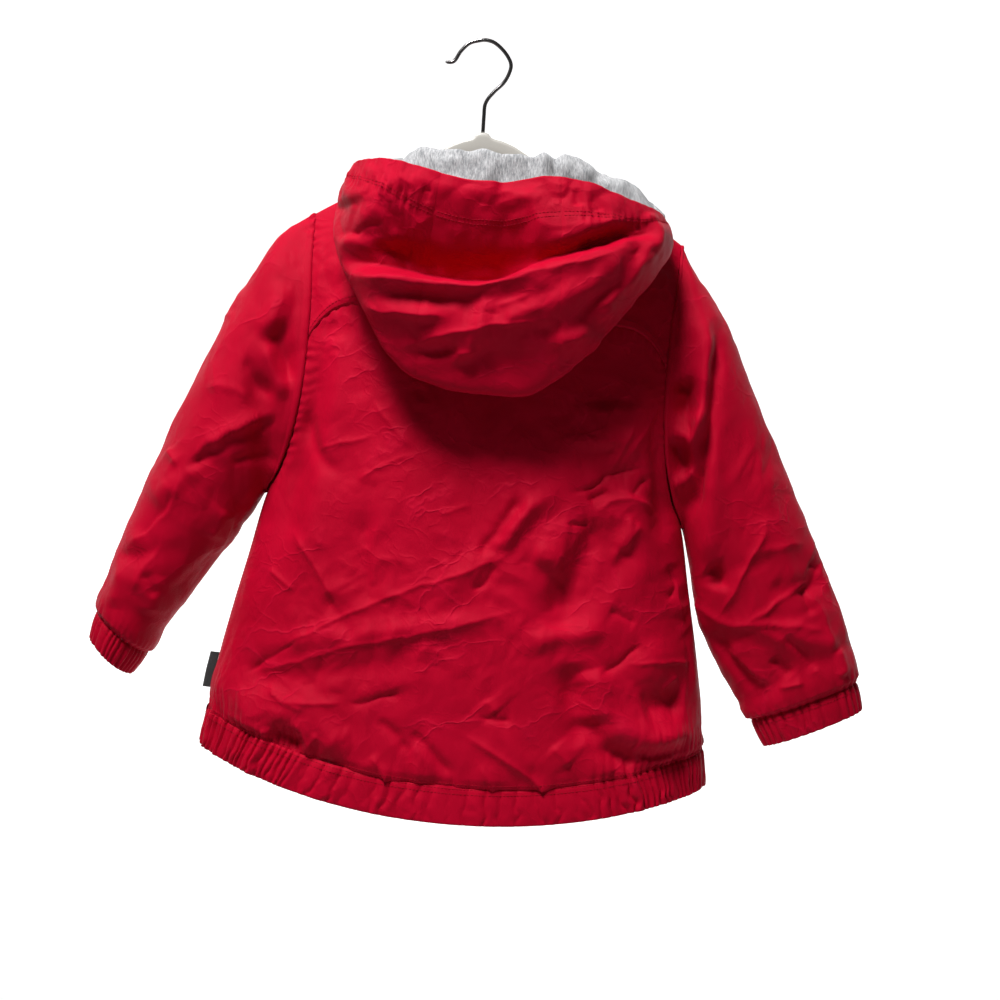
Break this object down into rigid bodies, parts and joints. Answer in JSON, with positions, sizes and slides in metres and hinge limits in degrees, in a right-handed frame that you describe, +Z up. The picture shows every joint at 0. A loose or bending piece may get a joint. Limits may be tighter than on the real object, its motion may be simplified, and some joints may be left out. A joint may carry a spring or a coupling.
{
  "type": "kids rain jacket on a hanger",
  "caption": "Hooded child's rain jacket with gathered hem and cuffs, hung on a hanger with a metal hook, its hood hanging down the back.",
  "frame": {"origin": "underside of the hook's crown, where a rail or peg bears", "axes": "+Z up, the jacket's back and hood face -Y, its front faces +Y, and its own left side is at -X"},
  "size_m": [0.5873, 0.1621, 0.5875],
  "materials": {
    "shell": "smooth red nylon taffeta with a soft sheen",
    "jersey": "grey marl jersey, matt",
    "zip_tape": "dark red woven tape and coil",
    "slider": "dark red enamel",
    "label": "bare black woven label",
    "hanger": "warm light grey plastic, satin",
    "wire": "dark polished steel wire"
  },
  "bodies": {
    "jacket": {"hanger_body": "hanger", "hanger_hook": "wire", "back_yoke": "shell", "back_panel": "shell", "front_left": "shell", "front_right": "shell", "sleeve_left": "shell", "sleeve_right": "shell", "cuff_left": "shell", "cuff_right": "shell", "hem_band": "shell", "hood_left": "shell", "hood_centre": "shell", "hood_right": "shell", "hood_lining": "jersey", "side_label": "label", "zip_tape_left": "zip_tape", "zip_tape_right": "zip_tape", "zip_chain": "zip_tape", "zip_slider": "slider"},
    "pull_tab": {"zip_pull": "slider"}
  },
  "joints": [
    {"name": "pull_tab_hinge", "type": "hinge", "parent": "jacket", "child": "pull_tab", "pos_m": [0.00792, 0.04096, -0.17185], "axis": [0.9962, 0, -0.0872], "range_deg": [0, 150]}
  ]
}
